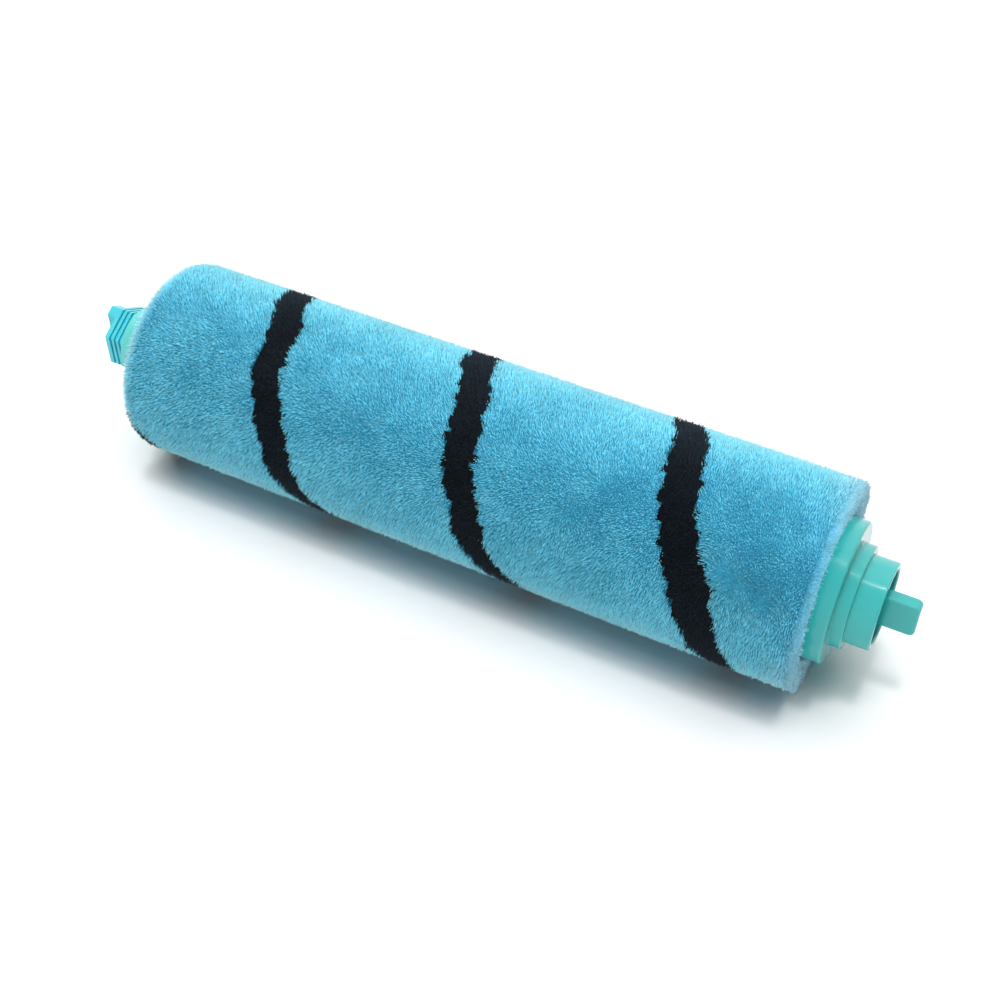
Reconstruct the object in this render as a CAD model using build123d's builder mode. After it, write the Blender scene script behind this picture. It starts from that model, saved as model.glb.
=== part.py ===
from build123d import *
import os
from math import ceil

os.makedirs("parts", exist_ok=True)

# Soft roller brush in millimetres: it spins about X, and +X points out of the bearing end

# Plush sleeve
plush_diameter = 48.0
plush_length = 170.1
plush_drive_round = 3.5
plush_bearing_round = 1.2
plush_flat_depth = 0.7
stripe_pitch = 50.5
stripe_width = 7.2
stripe_to_bearing_end = 85.3

# Core tube
tube_diameter = 32.0
tube_wall = 1.8
key_width = 6.0
key_depth = 5.0

# Ball bearing, 8 x 16 x 5
bearing_bore = 8.0
bearing_outside = 16.0
bearing_width = 5.0
ball_diameter = 2.381
ball_count = 10
shield_thickness = 0.25
shield_inset = 0.12
shield_grip = 0.25
inner_land_radius = 5.1
outer_land_radius = 6.9
cage_finger = 0.6
cage_back = 1.75

# Bearing end cap
flange_lip = 0.15
flange_thickness = 4.05
step_diameter = 23.4
step_thickness = 2.85
collar_diameter = 19.9
collar_wall = 1.45
collar_length = 5.6
plug_length = 18.0
plug_wall = 2.0
hub_wall = 1.9
hub_lip = 2.0
felt_thickness = 1.0
plug_edge = 0.6
flange_edge = 0.6
step_root = 0.3
step_edge = 0.45
collar_edge = 0.4
web_round = 0.5

# Stub axle
tab_height = 8.8
tab_thickness = 3.15
tab_end = 12.8
tab_corner = 1.3
tab_edge = 0.55
shoulder_radius = 4.9
shoulder_height = 1.8
shoulder_edge = 0.4
journal_edge = 0.3
journal_setback = 0.15
screw_diameter = 3.0
screw_length = 8.0
screw_point = 0.6
screw_bore_spare = 0.6
screw_head_diameter = 5.6
screw_head_height = 2.0
screw_head_round = 0.7
recess_length = 3.0
recess_width = 0.7
recess_depth = 1.2
washer_thickness = 0.8

# Drive end cap and coupling
drive_flange_thickness = 2.5
boss_diameter = 17.6
boss_length = 9.1
boss_root_round = 2.0
boss_edge = 0.5
socket_floor_round = 1.0
socket_flats = 8.0
socket_depth = 8.0
hex_radius = 8.1
hex_length = 5.4
groove_first = 1.15
groove_pitch = 1.37
groove_width = 0.65
groove_depth = 0.7
groove_count = 3
tongue_length = 2.6
tongue_thickness = 4.4
tongue_edge = 0.4

# Clearances
plug_clearance = 0.05
key_clearance = 0.10
press_clearance = 0.01
ball_clearance = 0.02
pocket_clearance = 0.06
cage_clearance = 0.30
felt_clearance = 0.40
socket_clearance = 0.05
thread_clearance = 0.02
washer_clearance = 0.10
shield_clearance = 0.15

# Radii and stations that follow from the sizes above
plush_radius = plush_diameter / 2
tube_radius = tube_diameter / 2
tube_bore_radius = tube_radius - tube_wall
plug_radius = tube_bore_radius - plug_clearance
plug_bore_radius = plug_radius - plug_wall
flange_radius = tube_radius + flange_lip
step_radius = step_diameter / 2
collar_radius = collar_diameter / 2
collar_bore_radius = collar_radius - collar_wall
boss_radius = boss_diameter / 2
seat_radius = bearing_outside / 2 + press_clearance
ball_radius = ball_diameter / 2
ball_circle = (bearing_bore + bearing_outside) / 4
race_radius = ball_radius + ball_clearance
shield_outer_radius = outer_land_radius + shield_grip
shield_inner_radius = inner_land_radius + shield_clearance

flange_face = -step_thickness
bearing_tube_end = flange_face - flange_thickness
drive_tube_end = bearing_tube_end - plush_length
drive_flange_face = drive_tube_end - drive_flange_thickness
boss_face = drive_flange_face - boss_length
hex_face = boss_face - hex_length

bearing_outer_face = -felt_thickness
bearing_inner_face = bearing_outer_face - bearing_width
bearing_middle = (bearing_outer_face + bearing_inner_face) / 2
hub_end = bearing_inner_face - hub_lip
hub_radius = seat_radius + hub_wall
journal_radius = bearing_bore / 2 - press_clearance
journal_end = bearing_inner_face + journal_setback

plush_foot = -(plush_radius - plush_flat_depth)
stripe_at_top = bearing_tube_end - stripe_to_bearing_end

lip_radius = shield_outer_radius + shield_clearance
web_face = (bearing_tube_end + flange_face) / 2
tab_root = bearing_outer_face + shoulder_height / 2
shoulder_face = bearing_outer_face + shoulder_height
screw_seat = bearing_inner_face - washer_thickness
screw_bore_depth = screw_length - washer_thickness + screw_bore_spare

turns_before = ceil((stripe_at_top - drive_tube_end + stripe_width) / stripe_pitch)
turns_after = ceil((bearing_tube_end - stripe_at_top + stripe_width) / stripe_pitch)
band_start = stripe_at_top - turns_before * stripe_pitch
band_middle = (tube_radius + plush_radius) / 2
band_height = plush_radius - tube_radius + 4.0

# Plain sleeve of pile round the tube, with soft end edges and the flat spot it lies on
with BuildPart() as plush_sleeve:
    with BuildSketch(Plane.XY):
        with BuildLine():
            FilletPolyline(
                (drive_tube_end, tube_radius),
                (drive_tube_end, plush_radius),
                (bearing_tube_end, plush_radius),
                (bearing_tube_end, tube_radius),
                radius=[0, plush_drive_round, plush_bearing_round, 0],
                close=True,
            )
        make_face()
    revolve(axis=Axis.X)
    with BuildSketch(Plane.XY.offset(plush_foot)):
        with Locations(((drive_tube_end + bearing_tube_end) / 2, 0)):
            Rectangle(plush_length + 20, plush_diameter)
    extrude(amount=-plush_diameter / 4, mode=Mode.SUBTRACT)

# One turn of the helical band that holds the black strip
with BuildPart() as stripe_turn:
    with BuildLine() as turn_path:
        Helix(
            pitch=stripe_pitch,
            height=stripe_pitch,
            radius=band_middle,
            center=(band_start, 0, 0),
            direction=(1, 0, 0),
        )
    with BuildSketch(Plane(origin=(band_start, 0, band_middle), x_dir=(1, 0, 0), z_dir=(0, -1, 0))):
        Rectangle(stripe_width, band_height)
    sweep(path=turn_path.line, is_frenet=True)

# Turns joined into one band that runs past both ends of the sleeve
with BuildPart() as stripe_band:
    for turn in range(turns_before + turns_after):
        add(stripe_turn.part.moved(Location((turn * stripe_pitch, 0, 0))), clean=False)

# Blue plush strip
with BuildPart() as blue_plush_strip:
    add(plush_sleeve.part)
    add(stripe_band.part, mode=Mode.SUBTRACT)
blue_plush_strip.part.label = "blue_plush_strip"
export_step(blue_plush_strip.part, "parts/blue_plush_strip.step")

# Black pile strip
with BuildPart() as black_pile_strip:
    add(plush_sleeve.part)
    add(stripe_band.part, mode=Mode.INTERSECT)
black_pile_strip.part.label = "black_pile_strip"
export_step(black_pile_strip.part, "parts/black_pile_strip.step")

# Core tube, with two key slots at each end
with BuildPart() as core_tube:
    with BuildSketch(Plane.YZ.offset(drive_tube_end)):
        Circle(tube_radius)
        Circle(tube_bore_radius, mode=Mode.SUBTRACT)
    extrude(amount=plush_length)
    with BuildSketch(Plane.YZ.offset(drive_tube_end)):
        Rectangle(tube_diameter + 2, key_width)
    extrude(amount=key_depth, mode=Mode.SUBTRACT)
    with BuildSketch(Plane.YZ.offset(bearing_tube_end)):
        Rectangle(tube_diameter + 2, key_width)
    extrude(amount=-key_depth, mode=Mode.SUBTRACT)
core_tube.part.label = "core_tube"
export_step(core_tube.part, "parts/core_tube.step")

# Bearing end cap: plug, flange, step, collar ring and bearing seat turned as one, then two keys
with BuildPart() as bearing_end_cap:
    with BuildSketch(Plane.XY):
        with BuildLine():
            FilletPolyline(
                (bearing_tube_end - plug_length, plug_bore_radius),
                (bearing_tube_end - plug_length, plug_radius),
                (bearing_tube_end, plug_radius),
                (bearing_tube_end, flange_radius),
                (flange_face, flange_radius),
                (flange_face, step_radius),
                (0, step_radius),
                (0, collar_radius),
                (collar_length, collar_radius),
                (collar_length, collar_bore_radius),
                (0, collar_bore_radius),
                (0, seat_radius),
                (bearing_inner_face, seat_radius),
                (bearing_inner_face, lip_radius),
                (hub_end, lip_radius),
                (hub_end, hub_radius),
                (web_face, hub_radius),
                (web_face, plug_bore_radius),
                radius=[
                    0, plug_edge, 0, 0, flange_edge, step_root, step_edge, 0, collar_edge, collar_edge,
                    0, 0, 0, 0, 0, 0, web_round, web_round,
                ],
                close=True,
            )
        make_face()
    revolve(axis=Axis.X)
    with BuildSketch(Plane.YZ.offset(bearing_tube_end)):
        Circle(tube_radius - key_clearance)
        Circle(plug_radius - plug_wall / 2, mode=Mode.SUBTRACT)
        Rectangle(tube_diameter, key_width - 2 * key_clearance, mode=Mode.INTERSECT)
    extrude(amount=-(key_depth - key_clearance))
bearing_end_cap.part.label = "bearing_end_cap"
export_step(bearing_end_cap.part, "parts/bearing_end_cap.step")

# Bearing outer ring, with its race and a recess for a shield on each side
with BuildPart() as bearing_outer_ring:
    with BuildSketch(Plane.YZ.offset(bearing_inner_face)):
        Circle(bearing_outside / 2)
        Circle(outer_land_radius, mode=Mode.SUBTRACT)
    extrude(amount=bearing_width)
    with BuildSketch(Plane.XY):
        with Locations((bearing_middle, ball_circle)):
            Circle(race_radius)
    revolve(axis=Axis.X, mode=Mode.SUBTRACT)
    with BuildSketch(Plane.YZ.offset(bearing_inner_face)):
        Circle(shield_outer_radius + press_clearance)
    extrude(amount=shield_inset + shield_thickness, mode=Mode.SUBTRACT)
    with BuildSketch(Plane.YZ.offset(bearing_outer_face)):
        Circle(shield_outer_radius + press_clearance)
    extrude(amount=-(shield_inset + shield_thickness), mode=Mode.SUBTRACT)
bearing_outer_ring.part.label = "bearing_outer_ring"
export_step(bearing_outer_ring.part, "parts/bearing_outer_ring.step")

# Bearing inner ring
with BuildPart() as bearing_inner_ring:
    with BuildSketch(Plane.YZ.offset(bearing_inner_face)):
        Circle(inner_land_radius)
        Circle(bearing_bore / 2, mode=Mode.SUBTRACT)
    extrude(amount=bearing_width)
    with BuildSketch(Plane.XY):
        with Locations((bearing_middle, ball_circle)):
            Circle(race_radius)
    revolve(axis=Axis.X, mode=Mode.SUBTRACT)
bearing_inner_ring.part.label = "bearing_inner_ring"
export_step(bearing_inner_ring.part, "parts/bearing_inner_ring.step")

# Bearing balls
with BuildPart() as bearing_balls:
    with Locations(Plane.YZ.offset(bearing_middle)):
        with PolarLocations(ball_circle, ball_count):
            Sphere(ball_radius)
bearing_balls.part.label = "bearing_balls"
export_step(bearing_balls.part, "parts/bearing_balls.step")

# Crown cage with one open pocket for each ball
with BuildPart() as bearing_cage:
    with BuildSketch(Plane.YZ.offset(bearing_middle - cage_finger)):
        Circle(outer_land_radius - cage_clearance)
        Circle(inner_land_radius + cage_clearance, mode=Mode.SUBTRACT)
    extrude(amount=cage_finger + cage_back)
    with Locations(Plane.YZ.offset(bearing_middle)):
        with PolarLocations(ball_circle, ball_count):
            Sphere(ball_radius + pocket_clearance, mode=Mode.SUBTRACT)
bearing_cage.part.label = "bearing_cage"
export_step(bearing_cage.part, "parts/bearing_cage.step")

# Outer shield of the bearing
with BuildPart() as bearing_outer_shield:
    with BuildSketch(Plane.YZ.offset(bearing_outer_face - shield_inset)):
        Circle(shield_outer_radius)
        Circle(shield_inner_radius, mode=Mode.SUBTRACT)
    extrude(amount=-shield_thickness)
bearing_outer_shield.part.label = "bearing_outer_shield"
export_step(bearing_outer_shield.part, "parts/bearing_outer_shield.step")

# Inner shield of the bearing
with BuildPart() as bearing_inner_shield:
    with BuildSketch(Plane.YZ.offset(bearing_inner_face + shield_inset)):
        Circle(shield_outer_radius)
        Circle(shield_inner_radius, mode=Mode.SUBTRACT)
    extrude(amount=shield_thickness)
bearing_inner_shield.part.label = "bearing_inner_shield"
export_step(bearing_inner_shield.part, "parts/bearing_inner_shield.step")

# Felt dust ring that lies on the bearing at the bottom of the collar ring
with BuildPart() as felt_dust_ring:
    with BuildSketch(Plane.YZ.offset(bearing_outer_face)):
        Circle(bearing_outside / 2)
        Circle(shoulder_radius + felt_clearance, mode=Mode.SUBTRACT)
    extrude(amount=felt_thickness)
felt_dust_ring.part.label = "felt_dust_ring"
export_step(felt_dust_ring.part, "parts/felt_dust_ring.step")

# Stub axle: journal in the bearing, shoulder against it and a flat tab that stands out
with BuildPart() as stub_axle:
    with BuildSketch(Plane.XZ):
        with BuildLine():
            FilletPolyline(
                (tab_root, -tab_height / 2),
                (tab_end, -tab_height / 2),
                (tab_end, tab_height / 2),
                (tab_root, tab_height / 2),
                radius=[0, tab_corner, tab_corner, 0],
                close=True,
            )
        make_face()
    extrude(amount=tab_thickness / 2, both=True)
    tab_sides = stub_axle.faces().filter_by(Axis.Y)
    tab_root_edges = stub_axle.edges().group_by(Axis.X)[0]
    fillet([edge for edge in tab_sides.edges() if edge not in tab_root_edges], radius=tab_edge)
    with BuildSketch(Plane.XY):
        with BuildLine():
            FilletPolyline(
                (journal_end, 0),
                (journal_end, journal_radius),
                (bearing_outer_face, journal_radius),
                (bearing_outer_face, shoulder_radius),
                (shoulder_face, shoulder_radius),
                (shoulder_face, 0),
                radius=[0, journal_edge, 0, 0, shoulder_edge, 0],
                close=True,
            )
        make_face()
    revolve(axis=Axis.X)
    with BuildSketch(Plane.YZ.offset(journal_end)):
        Circle(screw_diameter / 2 + thread_clearance)
    extrude(amount=screw_bore_depth, mode=Mode.SUBTRACT)
stub_axle.part.label = "stub_axle"
export_step(stub_axle.part, "parts/stub_axle.step")

# Axle washer that clamps the inner ring
with BuildPart() as axle_washer:
    with BuildSketch(Plane.YZ.offset(bearing_inner_face)):
        Circle(shoulder_radius)
        Circle(screw_diameter / 2 + washer_clearance, mode=Mode.SUBTRACT)
    extrude(amount=-washer_thickness)
axle_washer.part.label = "axle_washer"
export_step(axle_washer.part, "parts/axle_washer.step")

# Axle screw: pan head with a cross recess
with BuildPart() as axle_screw:
    with BuildSketch(Plane.YZ.offset(screw_seat)):
        Circle(screw_head_diameter / 2)
    extrude(amount=-screw_head_height)
    fillet(axle_screw.edges().group_by(Axis.X)[0], radius=screw_head_round)
    with BuildSketch(Plane.YZ.offset(screw_seat - screw_head_height)):
        Rectangle(recess_length, recess_width)
        Rectangle(recess_width, recess_length)
    extrude(amount=recess_depth, mode=Mode.SUBTRACT)
    with BuildSketch(Plane.YZ.offset(screw_seat)):
        Circle(screw_diameter / 2)
    extrude(amount=screw_length)
    chamfer(axle_screw.edges().group_by(Axis.X)[-1], length=screw_point)
axle_screw.part.label = "axle_screw"
export_step(axle_screw.part, "parts/axle_screw.step")

# Drive end cap: plug, flange and boss turned as one, then two keys and the hexagon socket
with BuildPart() as drive_end_cap:
    with BuildSketch(Plane.XY):
        with BuildLine():
            FilletPolyline(
                (drive_tube_end + plug_length, plug_bore_radius),
                (drive_tube_end + plug_length, plug_radius),
                (drive_tube_end, plug_radius),
                (drive_tube_end, flange_radius),
                (drive_flange_face, flange_radius),
                (drive_flange_face, boss_radius),
                (boss_face, boss_radius),
                (boss_face, 0),
                (drive_tube_end, 0),
                (drive_tube_end, plug_bore_radius),
                radius=[
                    0, plug_edge, 0, 0, flange_edge, boss_root_round, boss_edge, 0, 0, socket_floor_round,
                ],
                close=True,
            )
        make_face()
    revolve(axis=Axis.X)
    with BuildSketch(Plane.YZ.offset(drive_tube_end)):
        Circle(tube_radius - key_clearance)
        Circle(plug_radius - plug_wall / 2, mode=Mode.SUBTRACT)
        Rectangle(tube_diameter, key_width - 2 * key_clearance, mode=Mode.INTERSECT)
    extrude(amount=key_depth - key_clearance)
    with BuildSketch(Plane.YZ.offset(boss_face)):
        RegularPolygon(socket_flats / 2, 6, major_radius=False, rotation=30)
    extrude(amount=socket_depth, mode=Mode.SUBTRACT)
drive_end_cap.part.label = "drive_end_cap"
export_step(drive_end_cap.part, "parts/drive_end_cap.step")

# Drive coupling: ribbed hexagon, a tongue cut from the same hexagon, and a shank in the boss
with BuildPart() as drive_coupling:
    with BuildSketch(Plane.YZ.offset(boss_face)):
        RegularPolygon(hex_radius, 6, rotation=30)
    extrude(amount=-hex_length)
    for groove in range(groove_count):
        groove_middle = boss_face - groove_first - groove * groove_pitch
        with BuildSketch(Plane.YZ.offset(groove_middle + groove_width / 2)):
            RegularPolygon(hex_radius + 1, 6, rotation=30)
            RegularPolygon(hex_radius - groove_depth, 6, rotation=30, mode=Mode.SUBTRACT)
        extrude(amount=-groove_width, mode=Mode.SUBTRACT)
    with BuildSketch(Plane.YZ.offset(hex_face)):
        RegularPolygon(hex_radius, 6, rotation=30)
        Rectangle(tongue_thickness, 3 * hex_radius, mode=Mode.INTERSECT)
    extrude(amount=-tongue_length)
    fillet(drive_coupling.edges().group_by(Axis.X)[0], radius=tongue_edge)
    with BuildSketch(Plane.YZ.offset(boss_face)):
        RegularPolygon(socket_flats / 2 - socket_clearance, 6, major_radius=False, rotation=30)
    extrude(amount=socket_depth - 2 * socket_clearance)
drive_coupling.part.label = "drive_coupling"
export_step(drive_coupling.part, "parts/drive_coupling.step")
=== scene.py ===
import math

import bpy
import numpy as np
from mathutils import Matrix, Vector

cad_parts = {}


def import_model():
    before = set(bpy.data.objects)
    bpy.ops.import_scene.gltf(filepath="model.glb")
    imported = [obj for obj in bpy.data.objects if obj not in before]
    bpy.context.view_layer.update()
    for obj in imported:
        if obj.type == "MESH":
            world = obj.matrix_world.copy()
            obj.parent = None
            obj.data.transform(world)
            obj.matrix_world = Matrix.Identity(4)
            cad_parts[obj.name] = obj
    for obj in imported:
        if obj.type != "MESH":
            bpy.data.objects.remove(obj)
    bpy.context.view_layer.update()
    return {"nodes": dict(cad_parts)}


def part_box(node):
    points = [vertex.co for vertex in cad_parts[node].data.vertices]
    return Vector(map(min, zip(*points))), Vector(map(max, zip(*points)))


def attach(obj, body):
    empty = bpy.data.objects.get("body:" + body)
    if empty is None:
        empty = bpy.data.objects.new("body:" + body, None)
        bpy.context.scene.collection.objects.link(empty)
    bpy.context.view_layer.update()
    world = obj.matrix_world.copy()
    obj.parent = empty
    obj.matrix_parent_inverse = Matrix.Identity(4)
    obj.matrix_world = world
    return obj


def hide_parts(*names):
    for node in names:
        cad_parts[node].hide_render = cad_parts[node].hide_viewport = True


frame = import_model()

MM = 0.001
TURN = 2.0 * math.pi

# Pile sleeve, in millimetres in the model's frame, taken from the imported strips
strip_low, strip_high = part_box("blue_plush_strip")
SLEEVE_LEFT = strip_low.x / MM - 0.4
SLEEVE_RIGHT = strip_high.x / MM
SLEEVE_RADIUS = strip_high.z / MM
FOOT_Z = strip_low.z / MM
TUBE_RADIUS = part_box("core_tube")[1].z / MM

# Outline of the pile
LEFT_ROUND = 3.6
RIGHT_ROUND = 1.4
FACE_INNER_RADIUS = 17.2
PILE_DEPTH = 1.6
BODY_DEPTH = 1.1
BODY_ROWS = 110
BODY_STEPS = 150

# Dark strip: one right-hand helix about +X, told by where its middle crosses the top
STRIPE_PITCH = 50.5
STRIPE_WIDTH = 7.8
STRIPE_AT_TOP = -92.2
STRIPE_BENDS = (
    (-352.0, 0.9, 14.0), (-322.0, -1.0, 20.0), (-285.0, -1.2, 32.0),
    (-12.0, -1.0, 10.0), (50.0, -1.9, 18.0), (85.0, -1.5, 20.0),
    (388.0, -0.9, 18.0), (430.0, 0.9, 22.0), (465.0, 0.7, 20.0),
    (-256.0, -1.4, 15.0), (58.0, -0.6, 9.0), (104.0, -1.4, 14.0), (340.0, 0.7, 14.0),
    (404.0, -0.7, 12.0),
)
STRIPE_SWELL = (428.0, 1.3, 1.0, 36.0)
LEFT_EDGE_TURNS = (7.3, 13.1, 29.0, 47.0)
RIGHT_EDGE_TURNS = (6.1, 14.7, 27.0, 51.0)
EDGE_WANDER = (0.22, 0.25, 0.25, 0.2)
STRIPE_FRAY = 0.18
TUFT_FRAY = 0.18

# Fibres
FIBRE_STEP = 0.365
ROOT_WIDTH = 0.26
TIP_WIDTH = 0.13
TUFT_STEP = 0.52
TUFT_PULL = 0.5
SIDE_SHADE = 0.8
WIDE_LEAN = (34.0, 0.12, 7)
FINE_LEAN = (9.0, 0.08, 9)
LEAN_SPREAD = 0.12
HEIGHT_SPREAD = 0.16
TUFT_HEIGHT = 0.12
HEIGHT_DROP = 0.1
LEAN_DROP = 0.16
BASE_TONE = 1.03
TUFT_TONE = 0.08
TONE_SPREAD = 0.08
TONE_LIMITS = (0.45, 1.35)
# Painted backlit glow: how much paler the fibres are painted on the drive end's round
LEFT_GLOW_PALENESS = 0.55
END_SOFTNESS = 0.8
BLUE_PARTS = 5

# Where the pile lies on the floor: how far body and roots stay above it, and how tips scatter
BODY_LIFT = 0.4
ROOT_LIFT = 0.8
FOOT_SCATTER = 0.25
FOOT_SPLAY = 0.4

# Loose strands at the bearing end, and the pale backlit glow painted on the pile's ends
FRINGE_COUNT = 12000
FRINGE_WIDTHS = (0.2, 0.09)
END_FLARE = 0.6
END_PALING = (1.2, 6.0)
# Painted backlit glow: paleness of the bearing end, and its extra share by angle round the end
END_GLOW_PALENESS = (0.1, 0.5)

# Spots where the pile parts a little: place along X, angle from the top, spread and strength
PARTINGS = (
    (-22.5, 61.0, 3.2, 1.0), (-26.7, 54.0, 2.6, 0.8), (-15.6, 65.0, 2.4, 0.9),
    (-160.0, 58.0, 3.0, 0.6), (-143.0, 56.0, 3.0, 0.6), (-61.0, 57.0, 3.0, 0.5),
    (-56.0, 31.5, 2.6, 0.4), (-114.0, 51.0, 3.0, 0.5),
)

PARTING_MESS = 0.35
PARTING_DROP = 0.35
# Painted shade: fibres in a parting are darkened by this share of its strength
PARTING_SHADE = 0.2

# Spot painted darker as shade where the nap lies away from the light: place along X, angle, spread and
# strength
PAINTED_NAP_SHADE = (-20.0, 60.0, 6.5, 0.2)

# Share of fibres that are bent over and lie in shade, more of them in a parting, and their tone
SHADED_SHARE = (0.14, 0.3)
SHADED_TONE = 0.58
SHADED_DROP = 0.15

# Photograph's camera, from the fit of both ends and both edges of the roller
CAMERA_PLACE = (29.77, -221.54, 236.46)
CAMERA_YAW = 27.62
CAMERA_PITCH = 44.61
CAMERA_FOCAL_SHARE = 1.4882
SENSOR_WIDTH = 36.0
CAMERA_CLIP = (0.005, 20.0)

FLOOR_HALF = 3000.0
FLOOR_COLOUR = 0.96
FLOOR_LIFT = 0.004

rng = np.random.default_rng(8867)


# Node helpers

def new_material(name):
    material = bpy.data.materials.new(name)
    material.use_nodes = True
    nodes = material.node_tree.nodes
    nodes.clear()
    output = nodes.new("ShaderNodeOutputMaterial")
    return material, nodes, material.node_tree.links, output


def add_node(nodes, kind, **sockets):
    node = nodes.new(kind)
    for name, value in sockets.items():
        node.inputs[name.replace("_", " ")].default_value = value
    return node


def ramp_node(nodes, stops):
    node = nodes.new("ShaderNodeValToRGB")
    elements = node.color_ramp.elements
    while len(elements) < len(stops):
        elements.new(0.5)
    for element, (place, colour) in zip(elements, stops):
        element.position = place
        element.color = (*colour, 1.0)
    return node


def srgb(red, green, blue):
    def linear(value):
        value /= 255.0
        return value / 12.92 if value <= 0.04045 else ((value + 0.055) / 1.055) ** 2.4
    return (linear(red), linear(green), linear(blue))


# Materials

def pile_material(name, root, middle, tip, edge, sheen):
    """Pile fibre: dark in the depth as painted shade, lighter at the tip, paler on the loose ends as
    painted backlit glow.
    """
    material, nodes, links, output = new_material(name)
    along = nodes.new("ShaderNodeAttribute")
    along.attribute_name = "along"
    # The tone attribute carries random tone and painted shade
    tone_and_shade = nodes.new("ShaderNodeAttribute")
    tone_and_shade.attribute_name = "tone_and_shade"
    backlit_paling = nodes.new("ShaderNodeAttribute")
    backlit_paling.attribute_name = "backlit_paling"
    # Painted shade: the ramp darkens each fibre towards its root, as the depth of the pile would shade it
    depth_shade_ramp = ramp_node(nodes, [(0.0, root), (0.55, middle), (1.0, tip)])
    links.new(along.outputs["Fac"], depth_shade_ramp.inputs["Fac"])
    # Painted backlit glow: mixes the pale edge colour into the fibre
    glow_mix = nodes.new("ShaderNodeMix")
    glow_mix.data_type = "RGBA"
    glow_mix.inputs["B"].default_value = (*edge, 1.0)
    links.new(backlit_paling.outputs["Fac"], glow_mix.inputs["Factor"])
    links.new(depth_shade_ramp.outputs["Color"], glow_mix.inputs["A"])
    vary = add_node(nodes, "ShaderNodeHueSaturation")
    links.new(glow_mix.outputs["Result"], vary.inputs["Color"])
    links.new(tone_and_shade.outputs["Fac"], vary.inputs["Value"])
    fibre = add_node(nodes, "ShaderNodeBsdfPrincipled", Roughness=0.8, Specular_IOR_Level=0.1,
                     Sheen_Weight=sheen, Sheen_Roughness=0.5)
    links.new(vary.outputs["Color"], fibre.inputs["Base Color"])
    links.new(fibre.outputs["BSDF"], output.inputs["Surface"])
    return material


def backing_material(name, low, high):
    """Depth of the pile between the fibres, with the grain of the tufts."""
    material, nodes, links, output = new_material(name)
    place = nodes.new("ShaderNodeTexCoord")
    grain = add_node(nodes, "ShaderNodeTexNoise", Scale=900.0, Detail=3.0, Roughness=0.6)
    links.new(place.outputs["Object"], grain.inputs["Vector"])
    colours = ramp_node(nodes, [(0.3, low), (0.7, high)])
    links.new(grain.outputs["Fac"], colours.inputs["Fac"])
    bump = add_node(nodes, "ShaderNodeBump", Strength=0.6, Distance=0.0006)
    links.new(grain.outputs["Fac"], bump.inputs["Height"])
    surface = add_node(nodes, "ShaderNodeBsdfPrincipled", Roughness=0.9, Specular_IOR_Level=0.1)
    links.new(colours.outputs["Color"], surface.inputs["Base Color"])
    links.new(bump.outputs["Normal"], surface.inputs["Normal"])
    links.new(surface.outputs["BSDF"], output.inputs["Surface"])
    return material


def plastic_material(name, low, high, roughness, depth):
    """Moulded, slightly milky plastic with faint flow clouds and fine handling scratches."""
    material, nodes, links, output = new_material(name)
    place = nodes.new("ShaderNodeTexCoord")
    clouds = add_node(nodes, "ShaderNodeTexNoise", Scale=60.0, Detail=2.0, Roughness=0.4)
    links.new(place.outputs["Object"], clouds.inputs["Vector"])
    colours = ramp_node(nodes, [(0.2, low), (0.8, high)])
    links.new(clouds.outputs["Fac"], colours.inputs["Fac"])
    marks = add_node(nodes, "ShaderNodeTexNoise", Scale=1400.0, Detail=2.0, Roughness=0.6)
    links.new(place.outputs["Object"], marks.inputs["Vector"])
    gloss = nodes.new("ShaderNodeMapRange")
    gloss.inputs["To Min"].default_value = roughness * 0.9
    gloss.inputs["To Max"].default_value = roughness * 1.1
    links.new(clouds.outputs["Fac"], gloss.inputs["Value"])
    bump = add_node(nodes, "ShaderNodeBump", Strength=0.04, Distance=0.0002)
    links.new(marks.outputs["Fac"], bump.inputs["Height"])
    surface = add_node(nodes, "ShaderNodeBsdfPrincipled", IOR=1.5, Subsurface_Weight=depth,
                       Subsurface_Radius=(0.4, 1.0, 1.0), Subsurface_Scale=0.0015)
    links.new(colours.outputs["Color"], surface.inputs["Base Color"])
    links.new(gloss.outputs["Result"], surface.inputs["Roughness"])
    links.new(bump.outputs["Normal"], surface.inputs["Normal"])
    links.new(surface.outputs["BSDF"], output.inputs["Surface"])
    return material


def metal_material(name, colour, roughness, stretch):
    """Turned or pressed metal with fine marks round the axis."""
    material, nodes, links, output = new_material(name)
    place = nodes.new("ShaderNodeTexCoord")
    scale = nodes.new("ShaderNodeMapping")
    scale.inputs["Scale"].default_value = (stretch, 1.0, 1.0)
    links.new(place.outputs["Object"], scale.inputs["Vector"])
    marks = add_node(nodes, "ShaderNodeTexNoise", Scale=1800.0, Detail=2.0, Roughness=0.6)
    links.new(scale.outputs["Vector"], marks.inputs["Vector"])
    gloss = nodes.new("ShaderNodeMapRange")
    gloss.inputs["To Min"].default_value = roughness * 0.7
    gloss.inputs["To Max"].default_value = roughness * 1.3
    links.new(marks.outputs["Fac"], gloss.inputs["Value"])
    tint = ramp_node(nodes, [(0.3, tuple(0.85 * part for part in colour)), (0.7, colour)])
    links.new(marks.outputs["Fac"], tint.inputs["Fac"])
    bump = add_node(nodes, "ShaderNodeBump", Strength=0.1, Distance=0.0001)
    links.new(marks.outputs["Fac"], bump.inputs["Height"])
    surface = add_node(nodes, "ShaderNodeBsdfPrincipled", Metallic=1.0)
    links.new(tint.outputs["Color"], surface.inputs["Base Color"])
    links.new(gloss.outputs["Result"], surface.inputs["Roughness"])
    links.new(bump.outputs["Normal"], surface.inputs["Normal"])
    links.new(surface.outputs["BSDF"], output.inputs["Surface"])
    return material


# Outline of the pile: left face, left round, cylinder, right round, right face

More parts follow.
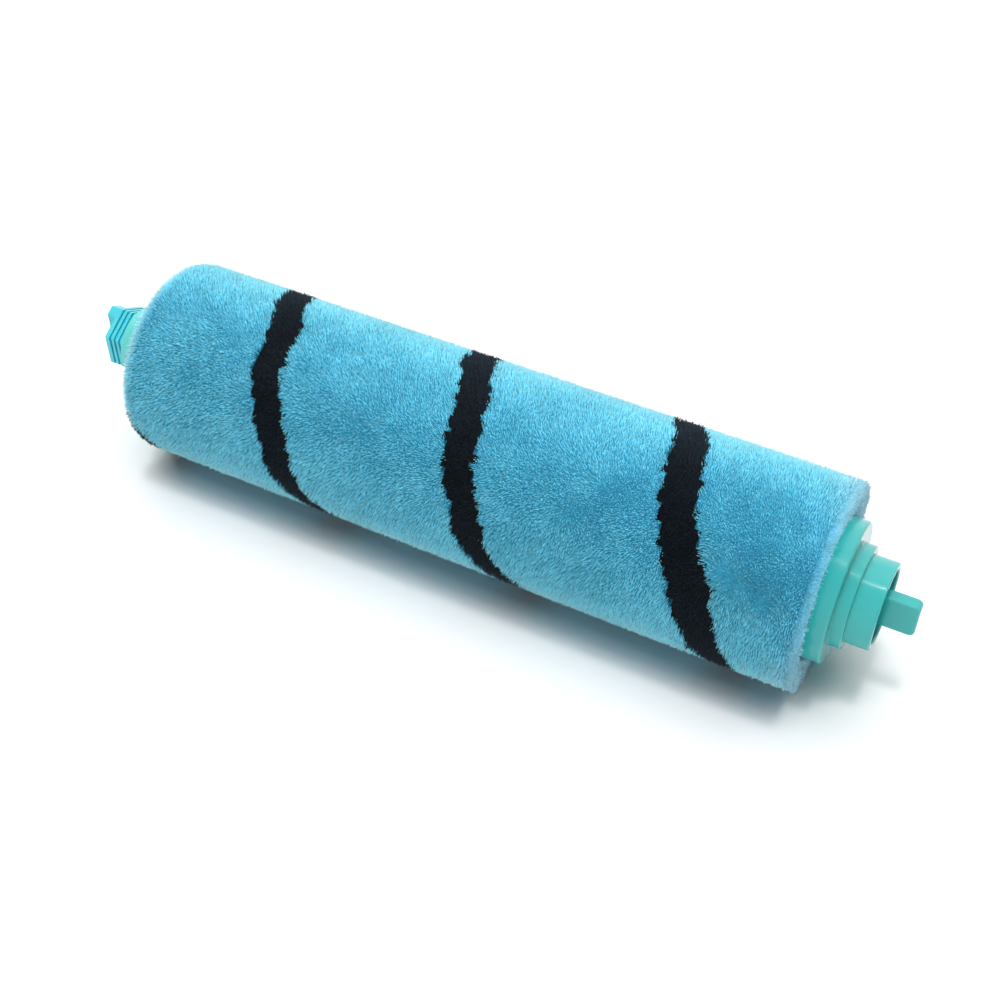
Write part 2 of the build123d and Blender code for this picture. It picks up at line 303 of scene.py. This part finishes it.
FACE_LEFT = SLEEVE_RADIUS - LEFT_ROUND - FACE_INNER_RADIUS
ARC_LEFT = LEFT_ROUND * math.pi / 2
LENGTH = SLEEVE_RIGHT - SLEEVE_LEFT - LEFT_ROUND - RIGHT_ROUND
ARC_RIGHT = RIGHT_ROUND * math.pi / 2
FACE_RIGHT = SLEEVE_RADIUS - RIGHT_ROUND - FACE_INNER_RADIUS
OUTLINE_ENDS = np.cumsum([FACE_LEFT, ARC_LEFT, LENGTH, ARC_RIGHT, FACE_RIGHT])
OUTLINE_LENGTH = OUTLINE_ENDS[-1]


def outline(s):
    """Point (x, r) and outward normal (x, r) of the pile's outline at each length s."""
    s = np.clip(s, 0.0, OUTLINE_LENGTH)
    left_angle = np.clip((s - OUTLINE_ENDS[0]) / LEFT_ROUND, 0.0, math.pi / 2)
    right_angle = np.clip((s - OUTLINE_ENDS[2]) / RIGHT_ROUND, 0.0, math.pi / 2)
    normal_x = np.where(s < OUTLINE_ENDS[1], -np.cos(left_angle), np.sin(right_angle))
    normal_r = np.where(s < OUTLINE_ENDS[1], np.sin(left_angle), np.cos(right_angle))
    round_size = np.where(s < OUTLINE_ENDS[1], LEFT_ROUND, RIGHT_ROUND)
    straight = np.clip(s - OUTLINE_ENDS[1], 0.0, LENGTH)
    x = SLEEVE_LEFT + LEFT_ROUND + straight + round_size * normal_x
    r = SLEEVE_RADIUS - round_size + round_size * normal_r
    r = r - np.clip(OUTLINE_ENDS[0] - s, 0.0, None) - np.clip(s - OUTLINE_ENDS[3], 0.0, None)
    return x, r, normal_x, normal_r


def waves(u, turns, sizes, seed):
    """Smooth wander along u, as a few sines with seeded phases."""
    phases = np.random.default_rng(seed).uniform(0.0, TURN, len(turns))
    return sum(size * np.sin(turn * u + phase) for turn, size, phase in zip(turns, sizes, phases))


def stripe_offset(x, theta):
    """Distance along X from the dark strip's middle line, and the turn angle along the strip."""
    raw = x - STRIPE_AT_TOP - STRIPE_PITCH * theta / TURN
    lap = np.round(raw / STRIPE_PITCH)
    return raw - lap * STRIPE_PITCH, theta + TURN * lap


def in_stripe(x, theta, fray):
    """True in the dark strip, whose two edges wander on their own."""
    offset, along = stripe_offset(x, theta)
    for angle, shift, spread in STRIPE_BENDS:
        offset = offset - shift * np.exp(-(((np.degrees(along) - angle) / spread) ** 2))
    angle, swell_left, swell_right, spread = STRIPE_SWELL
    swell = np.exp(-(((np.degrees(along) - angle) / spread) ** 2))
    left = waves(along, LEFT_EDGE_TURNS, EDGE_WANDER, 11) - swell_left * swell
    right = waves(along, RIGHT_EDGE_TURNS, EDGE_WANDER, 12) + swell_right * swell
    return (offset > -STRIPE_WIDTH / 2 + left + fray) & (offset < STRIPE_WIDTH / 2 + right + fray)


def field(x, theta, seed, wave, strength, count):
    """Smooth seeded field over the sleeve, periodic round it."""
    draw = np.random.default_rng(seed)
    total = np.zeros_like(x)
    for _ in range(count):
        turns = int(round(draw.normal(0.0, TURN * SLEEVE_RADIUS / wave)))
        rate = draw.normal(0.0, TURN / wave)
        total += np.sin(rate * x + turns * theta + draw.uniform(0.0, TURN))
    return strength * total / math.sqrt(count / 2.0)


# Mesh helpers

def mesh_object(name, corners, faces, material, values=None, smooth=False, normals=None):
    """Mesh from millimetre corners; faces are rows of 3 or 4 corner numbers."""
    mesh = bpy.data.meshes.new(name)
    count, sides = faces.shape
    mesh.vertices.add(len(corners))
    mesh.vertices.foreach_set("co", (corners * MM).astype(np.float32).ravel())
    mesh.loops.add(count * sides)
    mesh.loops.foreach_set("vertex_index", faces.astype(np.int32).ravel())
    mesh.polygons.add(count)
    mesh.polygons.foreach_set("loop_start", np.arange(0, count * sides, sides, dtype=np.int32))
    mesh.update(calc_edges=True)
    for key, data in (values or {}).items():
        layer = mesh.attributes.new(key, "FLOAT", "POINT")
        layer.data.foreach_set("value", data.astype(np.float32))
    mesh.polygons.foreach_set("use_smooth", np.full(count, smooth or normals is not None))
    if normals is not None:
        mesh.normals_split_custom_set_from_vertices(normals.astype(np.float32))
    mesh.materials.append(material)
    piece = bpy.data.objects.new(name, mesh)
    bpy.context.scene.collection.objects.link(piece)
    return piece


def to_space(x, r, theta):
    return np.stack([x, -r * np.sin(theta), r * np.cos(theta)], axis=-1)


def carry(piece, node):
    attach(piece, "roller")
    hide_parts(node)


# Depth of the pile, as closed bands under the fibres

def pile_bodies(blue, black):
    rows, steps = BODY_ROWS, BODY_STEPS
    s = np.linspace(0.0, OUTLINE_LENGTH, rows + 1)
    theta = np.linspace(0.0, TURN, steps, endpoint=False)
    x, r, normal_x, normal_r = outline(s)
    outer_x = x - BODY_DEPTH * normal_x
    outer_r = r - BODY_DEPTH * normal_r
    inner_x = np.clip(outer_x, SLEEVE_LEFT + BODY_DEPTH, SLEEVE_RIGHT - BODY_DEPTH)
    inner_r = np.full_like(outer_r, TUBE_RADIUS + 0.02)
    around, along = np.meshgrid(theta, np.arange(rows + 1))
    outer = to_space(outer_x[along], outer_r[along], around)
    outer[..., 2] = np.maximum(outer[..., 2], FOOT_Z + BODY_LIFT)
    inner = to_space(inner_x[along], inner_r[along], around)
    corners = np.concatenate([outer.reshape(-1, 3), inner.reshape(-1, 3)])
    layer = (rows + 1) * steps

    row, step = np.meshgrid(np.arange(rows), np.arange(steps), indexing="ij")
    after = (step + 1) % steps
    a, b = row * steps + step, row * steps + after
    c, d = (row + 1) * steps + after, (row + 1) * steps + step
    middle_s = (s[:-1] + s[1:]) / 2
    middle_x = outline(middle_s)[0][row]
    dark = in_stripe(middle_x, theta[step] + TURN / steps / 2, 0.0)

    def band(keep):
        quads = [np.stack([a, b, c, d], -1)[keep], np.stack([a, d, c, b], -1)[keep] + layer]
        sides = (
            (keep & ~np.roll(keep, 1, 1), a, d),
            (keep & ~np.roll(keep, -1, 1), c, b),
            (keep & ~np.concatenate([np.zeros((1, steps), bool), keep[:-1]]), b, a),
            (keep & ~np.concatenate([keep[1:], np.zeros((1, steps), bool)]), d, c),
        )
        for edge, first, second in sides:
            p, q = first[edge], second[edge]
            quads.append(np.stack([p, q, q + layer, p + layer], -1)[:, ::-1])
        faces = np.concatenate(quads)
        used, faces = np.unique(faces, return_inverse=True)
        return corners[used], faces.reshape(-1, 4)

    for name, mask, material, node, slot in (
        ("blue_pile_body", ~dark, blue, "blue_plush_strip", "plush_blue"),
        ("black_pile_body", dark, black, "black_pile_strip", "pile_black"),
    ):
        points, faces = band(mask)
        carry(mesh_object(name, points, faces, material, smooth=True), node)


# Fibres, each a long thin tetrahedron with a blunt root and a blunt tip

def fibre_roots():
    """Even, jittered places over the outline: length s and angle theta."""
    rows = int(OUTLINE_LENGTH / FIBRE_STEP)
    middles = (np.arange(rows) + 0.5) * OUTLINE_LENGTH / rows
    counts = np.maximum(1, np.round(TURN * outline(middles)[1] / FIBRE_STEP)).astype(int)
    s = np.repeat(middles, counts)
    first = np.repeat(np.cumsum(counts) - counts, counts)
    place = np.arange(counts.sum()) - first
    spacing = np.repeat(TURN / counts, counts)
    turn = np.repeat(rng.uniform(0.0, TURN, rows), counts)
    theta = (turn + (place + rng.uniform(-0.45, 0.45, len(s))) * spacing) % TURN
    s = s + rng.uniform(-0.45, 0.45, len(s)) * FIBRE_STEP
    return s, theta


def tuft_pull(s, arc):
    """Way from each place to the middle of its tuft, and a number for the tuft."""
    cell_s = np.floor(s / TUFT_STEP).astype(int)
    shift = (cell_s % 2) * 0.5
    cell_a = np.floor(arc / TUFT_STEP + shift).astype(int)
    across, round_count = cell_s.max() + 2, cell_a.max() + 2
    jitter = rng.uniform(0.15, 0.85, (2, across, round_count))
    centre_s = (cell_s + jitter[0, cell_s, cell_a]) * TUFT_STEP
    centre_a = (cell_a - shift + jitter[1, cell_s, cell_a]) * TUFT_STEP
    tuft_tone = rng.normal(0.0, 1.0, (across, round_count))[cell_s, cell_a]
    return centre_s - s, centre_a - arc, tuft_tone


def fibres():
    """Root and tip of every fibre, with its tone and painted shade, its painted backlit paleness and its
    colour.
    """
    s, theta = fibre_roots()
    x, r, normal_x, normal_r = outline(s)
    pull_s, pull_a, tuft_tone = tuft_pull(s, theta * r)
    count = len(s)

    lean_s = field(x, theta, 21, *WIDE_LEAN) + field(x, theta, 22, *FINE_LEAN)
    lean_a = field(x, theta, 23, *WIDE_LEAN) + field(x, theta, 24, *FINE_LEAN)
    lean_s = lean_s + TUFT_PULL * pull_s + rng.normal(0.0, LEAN_SPREAD, count)
    lean_a = lean_a + TUFT_PULL * pull_a + rng.normal(0.0, LEAN_SPREAD, count)
    # Weight by angle round the end, for the painted backlit glow and for the width of the end zone
    end_glow_round = np.sin(theta - math.pi / 4) ** 2
    paling = END_PALING[0] + END_PALING[1] * end_glow_round
    right = np.clip((s - OUTLINE_ENDS[2] + paling) / (ARC_RIGHT + paling), 0.0, 1.0)
    left = np.clip((OUTLINE_ENDS[1] - s) / (ARC_LEFT + 1.0), 0.0, 1.0)
    height = rng.normal(0.0, HEIGHT_SPREAD, count) + TUFT_HEIGHT * tuft_tone - HEIGHT_DROP
    parted = np.zeros(count)
    for place, angle, spread, strength in PARTINGS:
        away_s = x - place
        away_a = (theta - math.radians(angle)) * SLEEVE_RADIUS
        near = np.exp(-(away_s**2 + away_a**2) / (2.0 * spread**2))
        lean_s = lean_s + strength * near * (away_s / spread + rng.normal(0.0, PARTING_MESS, count))
        lean_a = lean_a + strength * near * (away_a / spread + rng.normal(0.0, PARTING_MESS, count))
        height = height - PARTING_DROP * strength * near
        parted = parted + strength * near
    shaded = rng.uniform(0.0, 1.0, count) < SHADED_SHARE[0] + SHADED_SHARE[1] * parted
    height = height - LEAN_DROP * (lean_s**2 + lean_a**2) / PILE_DEPTH - SHADED_DROP * shaded

    tangent_x, tangent_r = normal_r, -normal_x
    root_x = x - PILE_DEPTH * normal_x
    root_r = r - PILE_DEPTH * normal_r
    flare = END_FLARE * right**2 * np.clip(0.6 + 0.4 * tuft_tone, 0.0, 1.3)
    tip_x = x + height * normal_x + lean_s * tangent_x + flare
    tip_r = r + height * normal_r + lean_s * tangent_r
    root = to_space(root_x, root_r, theta)
    tip = to_space(tip_x, tip_r, theta + lean_a / r)

    under = tip[:, 2] < FOOT_Z
    push = FOOT_Z - tip[under, 2]
    tip[under, 1] += np.sign(tip[under, 1]) * FOOT_SPLAY * push
    tip[under, 2] = FOOT_Z + rng.uniform(0.0, FOOT_SCATTER, under.sum())
    root[:, 2] = np.maximum(root[:, 2], FOOT_Z + ROOT_LIFT)

    # Painted shade: the tone is darkened where the nap lies away from the light and in the partings
    place, angle, spread, strength = PAINTED_NAP_SHADE
    away = np.hypot(x - place, (theta - math.radians(angle)) * SLEEVE_RADIUS) / spread
    tone_and_shade = BASE_TONE - strength * np.exp(-away**2 / 2.0) - PARTING_SHADE * parted
    tone_and_shade = tone_and_shade + TUFT_TONE * tuft_tone + rng.normal(0.0, TONE_SPREAD, count) * (1.0 + right)
    tone_and_shade = np.where(shaded, SHADED_TONE * tone_and_shade, tone_and_shade)
    tone_and_shade = np.clip(tone_and_shade, *TONE_LIMITS)
    # Painted backlit glow: fibres are painted paler at both ends of the pile
    backlit_paling = (END_GLOW_PALENESS[0] + END_GLOW_PALENESS[1] * end_glow_round) * right**1.4 + LEFT_GLOW_PALENESS * left
    dark = in_stripe(x, theta, rng.normal(0.0, STRIPE_FRAY, count) + TUFT_FRAY * tuft_tone)
    soft_r = normal_r + END_SOFTNESS * np.abs(normal_x)
    size = np.hypot(normal_x, soft_r)
    out = to_space(normal_x / size, soft_r / size, theta)
    return root, tip, tone_and_shade, backlit_paling, dark, s, out


def fibre_mesh(name, root, tip, tone_and_shade, backlit_paling, out, material, widths=(ROOT_WIDTH, TIP_WIDTH)):
    way = tip - root
    way /= np.linalg.norm(way, axis=1, keepdims=True)
    helper = rng.normal(0.0, 1.0, root.shape)
    side = np.cross(way, helper)
    side /= np.linalg.norm(side, axis=1, keepdims=True)
    cross = np.cross(way, side)
    corners = np.stack([
        root - side * widths[0] / 2,
        root + side * widths[0] / 2,
        tip - cross * widths[1] / 2,
        tip + cross * widths[1] / 2,
    ], axis=1).reshape(-1, 3)
    start = 4 * np.arange(len(root))[:, None, None]
    pattern = np.array([[0, 1, 2], [1, 0, 3], [0, 2, 3], [2, 1, 3]])
    faces = (start + pattern).reshape(-1, 3)
    values = {
        "along": np.tile([0.0, 0.0, 1.0, 1.0], len(root)),
        "tone_and_shade": np.repeat(tone_and_shade, 4),
        # The paleness is painted backlit glow, weaker at the root
        "backlit_paling": np.repeat(backlit_paling, 4) * np.tile([0.4, 0.4, 1.0, 1.0], len(root)),
    }
    sides = np.stack([-side, side, -cross, cross], axis=1).reshape(-1, 3)
    normals = np.repeat(out, 4, axis=0) + SIDE_SHADE * sides
    normals /= np.linalg.norm(normals, axis=1, keepdims=True)
    return mesh_object(name, corners, faces, material, values, normals=normals)


def pile(blue, end, black):
    root, tip, tone_and_shade, backlit_paling, dark, s, out = fibres()
    carry(fibre_mesh("black_pile", root[dark], tip[dark], tone_and_shade[dark], backlit_paling[dark], out[dark], black),
          "black_pile_strip")
    order = np.flatnonzero(~dark)
    order = order[np.argsort(s[order], kind="stable")]
    at_end = s[order] > OUTLINE_ENDS[2]
    groups = np.array_split(order[~at_end], BLUE_PARTS) + [order[at_end]]
    for number, chosen in enumerate(groups, start=1):
        piece = fibre_mesh(f"blue_pile_{number}", root[chosen], tip[chosen], tone_and_shade[chosen],
                           backlit_paling[chosen], out[chosen], blue if number <= BLUE_PARTS else end)
        piece.visible_shadow = number <= BLUE_PARTS
        carry(piece, "blue_plush_strip")


def end_fringe(blue):
    """Long strands, painted pale as backlit glow, that lie up the end face beside the bearing cap and
    flare past it.
    """
    theta = rng.uniform(0.0, TURN, FRINGE_COUNT)
    clump = np.floor(theta * SLEEVE_RADIUS / 1.6).astype(int)
    draw = rng.uniform(-1.0, 1.0, (3, clump.max() + 1))[:, clump]
    root_r = rng.uniform(TUBE_RADIUS + 0.7, SLEEVE_RADIUS - 2.5, FRINGE_COUNT)
    reach = rng.uniform(2.0, 5.0, FRINGE_COUNT) + 0.6 * draw[0]
    tip_r = np.minimum(root_r + reach, SLEEVE_RADIUS + rng.normal(-0.3, 0.25, FRINGE_COUNT))
    root_x = SLEEVE_RIGHT - rng.uniform(0.2, 0.9, FRINGE_COUNT)
    tip_x = SLEEVE_RIGHT + rng.uniform(-0.3, 0.6, FRINGE_COUNT) + 0.3 * draw[1]
    tip_theta = theta + (0.7 * draw[2] + rng.normal(0.0, 0.3, FRINGE_COUNT)) / SLEEVE_RADIUS
    root = to_space(root_x, root_r, theta)
    tip = to_space(tip_x, tip_r, tip_theta)
    root[:, 2] = np.maximum(root[:, 2], FOOT_Z + ROOT_LIFT)
    tip[:, 2] = np.maximum(tip[:, 2], FOOT_Z + 0.1)
    tone_and_shade = np.clip(0.95 + 0.1 * draw[0] + rng.normal(0.0, 0.14, FRINGE_COUNT), 0.55, 1.3)
    # Painted backlit glow: the strands are painted paler, more at some angles round the end than at others
    end_glow_round = np.sin(theta - math.pi / 4) ** 2
    backlit_paling = END_GLOW_PALENESS[0] + END_GLOW_PALENESS[1] * end_glow_round + 0.15 * draw[1]
    backlit_paling = np.clip(backlit_paling + rng.normal(0.0, 0.15, FRINGE_COUNT), 0.05, 1.0)
    slant = np.full(FRINGE_COUNT, 0.3)
    out = to_space(slant, np.sqrt(1.0 - slant**2), theta)
    dark = in_stripe(np.full(FRINGE_COUNT, SLEEVE_RIGHT), theta, 0.0)
    keep = ~dark
    piece = fibre_mesh("blue_end_fringe", root[keep], tip[keep], tone_and_shade[keep], backlit_paling[keep], out[keep],
                       blue, FRINGE_WIDTHS)
    piece.visible_shadow = False
    carry(piece, "blue_plush_strip")


# CAD nodes

def dress_nodes():
    teal = plastic_material("teal_plastic", srgb(42, 170, 168), srgb(56, 180, 178), 0.13, 0.25)
    green = plastic_material("green_plastic", srgb(88, 194, 190), srgb(104, 204, 200), 0.24, 0.25)
    cyan = plastic_material("cyan_plastic", srgb(56, 188, 202), srgb(72, 200, 213), 0.28, 0.2)
    grey = plastic_material("tube_plastic", srgb(200, 204, 204), srgb(214, 217, 216), 0.5, 0.1)
    nylon = plastic_material("cage_nylon", srgb(222, 216, 196), srgb(232, 227, 210), 0.5, 0.2)
    steel = metal_material("bearing_steel", (0.66, 0.67, 0.69), 0.22, 8.0)
    polished = metal_material("ball_steel", (0.72, 0.73, 0.75), 0.08, 1.0)
    pressed = metal_material("shield_steel", (0.6, 0.61, 0.62), 0.32, 4.0)
    zinc = metal_material("zinc_steel", (0.62, 0.64, 0.66), 0.3, 3.0)
    felt = backing_material("felt_grey", srgb(78, 82, 86), srgb(120, 124, 128))
    finish = {
        "bearing_end_cap": teal, "stub_axle": teal, "drive_end_cap": green,
        "drive_coupling": cyan, "core_tube": grey, "bearing_cage": nylon,
        "bearing_outer_ring": steel, "bearing_inner_ring": steel, "bearing_balls": polished,
        "bearing_outer_shield": pressed, "bearing_inner_shield": pressed,
        "axle_washer": zinc, "axle_screw": zinc, "felt_dust_ring": felt,
    }
    for node, material in finish.items():
        part = frame["nodes"][node]
        for slot in part.material_slots:
            slot.material = material


# Floor, light and camera

def floor():
    half = FLOOR_HALF
    corners = np.array([[-half, -half, FOOT_Z], [half, -half, FOOT_Z],
                        [half, half, FOOT_Z], [-half, half, FOOT_Z]])
    material, nodes, links, output = new_material("pale_floor")
    path = nodes.new("ShaderNodeLightPath")
    glow = add_node(nodes, "ShaderNodeEmission", Color=(1.0, 1.0, 1.0, 1.0))
    lift = nodes.new("ShaderNodeMath")
    lift.operation = "MULTIPLY"
    lift.inputs[1].default_value = FLOOR_LIFT
    links.new(path.outputs["Is Camera Ray"], lift.inputs[0])
    links.new(lift.outputs["Value"], glow.inputs["Strength"])
    matte = add_node(nodes, "ShaderNodeBsdfDiffuse", Color=(FLOOR_COLOUR, FLOOR_COLOUR, FLOOR_COLOUR, 1.0))
    both = nodes.new("ShaderNodeAddShader")
    links.new(matte.outputs["BSDF"], both.inputs[0])
    links.new(glow.outputs["Emission"], both.inputs[1])
    links.new(both.outputs["Shader"], output.inputs["Surface"])
    mesh_object("floor", corners, np.array([[0, 1, 2, 3]]), material)


def world():
    scene = bpy.context.scene
    scene.world = bpy.data.worlds.new("studio")
    scene.world.use_nodes = True
    nodes, links = scene.world.node_tree.nodes, scene.world.node_tree.links
    nodes.clear()
    output = nodes.new("ShaderNodeOutputWorld")
    path = nodes.new("ShaderNodeLightPath")
    seen = nodes.new("ShaderNodeMath")
    seen.operation = "MAXIMUM"
    links.new(path.outputs["Is Camera Ray"], seen.inputs[0])
    links.new(path.outputs["Is Transmission Ray"], seen.inputs[1])
    place = nodes.new("ShaderNodeTexCoord")
    parts = nodes.new("ShaderNodeSeparateXYZ")
    links.new(place.outputs["Generated"], parts.inputs["Vector"])
    back = nodes.new("ShaderNodeMapRange")
    back.inputs["From Min"].default_value = -1.0
    links.new(parts.outputs["Y"], back.inputs["Value"])
    room = ramp_node(nodes, [(0.0, (0.7,) * 3), (0.44, (0.4,) * 3), (0.5, (1.0,) * 3), (1.0, (1.0,) * 3)])
    links.new(back.outputs["Result"], room.inputs["Fac"])
    white = add_node(nodes, "ShaderNodeBackground", Color=(1.0, 1.0, 1.0, 1.0), Strength=1.0)
    mirror = add_node(nodes, "ShaderNodeBackground", Strength=1.6)
    links.new(room.outputs["Color"], mirror.inputs["Color"])
    fill = add_node(nodes, "ShaderNodeBackground", Color=(0.97, 0.99, 1.0, 1.0), Strength=0.06)
    gloss = nodes.new("ShaderNodeMixShader")
    links.new(path.outputs["Is Glossy Ray"], gloss.inputs["Fac"])
    links.new(fill.outputs["Background"], gloss.inputs[1])
    links.new(mirror.outputs["Background"], gloss.inputs[2])
    pick = nodes.new("ShaderNodeMixShader")
    links.new(seen.outputs["Value"], pick.inputs["Fac"])
    links.new(gloss.outputs["Shader"], pick.inputs[1])
    links.new(white.outputs["Background"], pick.inputs[2])
    links.new(pick.outputs["Shader"], output.inputs["Surface"])


def sun(name, azimuth, elevation, strength, spread, mirrored=True):
    """Light from a compass direction: azimuth 0 stands in front, 180 behind."""
    lamp = bpy.data.lights.new(name, "SUN")
    lamp.energy = strength
    lamp.angle = math.radians(spread)
    piece = bpy.data.objects.new(name, lamp)
    piece.rotation_euler = (math.radians(90.0 - elevation), 0.0, math.radians(azimuth))
    piece.visible_glossy = mirrored
    bpy.context.scene.collection.objects.link(piece)


def camera():
    data = bpy.data.cameras.new("camera")
    data.sensor_width = SENSOR_WIDTH
    data.lens = CAMERA_FOCAL_SHARE * SENSOR_WIDTH
    data.clip_start, data.clip_end = CAMERA_CLIP
    piece = bpy.data.objects.new("camera", data)
    piece.location = [part * MM for part in CAMERA_PLACE]
    piece.rotation_euler = (math.radians(90.0 - CAMERA_PITCH), 0.0, math.radians(CAMERA_YAW))
    bpy.context.scene.collection.objects.link(piece)
    bpy.context.scene.camera = piece


# Fibre colours: root, middle and tip run from dark painted shade in the depth to light; the fourth colour
# is the painted backlit glow of the ends
blue_fibre = pile_material("blue_pile", srgb(42, 144, 181), srgb(100, 216, 246), srgb(152, 241, 255),
                           srgb(214, 240, 250), 0.65)
end_fibre = pile_material("blue_end_pile", srgb(36, 122, 156), srgb(82, 184, 214), srgb(132, 216, 240),
                          srgb(190, 234, 249), 0.2)
black_fibre = pile_material("black_pile", srgb(16, 22, 28), srgb(26, 34, 41), srgb(40, 50, 59),
                            srgb(70, 78, 86), 0.02)
# The backings are coloured as dark as the fibre roots, as painted shade in the depth of the pile
pile_bodies(backing_material("blue_backing", srgb(42, 134, 168), srgb(62, 160, 194)),
            backing_material("black_backing", srgb(16, 21, 26), srgb(24, 31, 37)))
pile(blue_fibre, end_fibre, black_fibre)
end_fringe(end_fibre)
dress_nodes()
floor()
world()
sun("key", 330.0, 83.0, 0.65, 17.0, mirrored=False)
sun("ceiling", 210.0, 76.5, 2.8, 77.0, mirrored=False)
sun("front", 0.0, 4.5, 0.9, 16.0, mirrored=False)
sun("overhead", 0.0, 88.0, 0.45, 7.0)
sun("behind", 180.0, 57.0, 0.08, 5.0)
camera()
bpy.context.scene.view_settings.view_transform = "Standard"
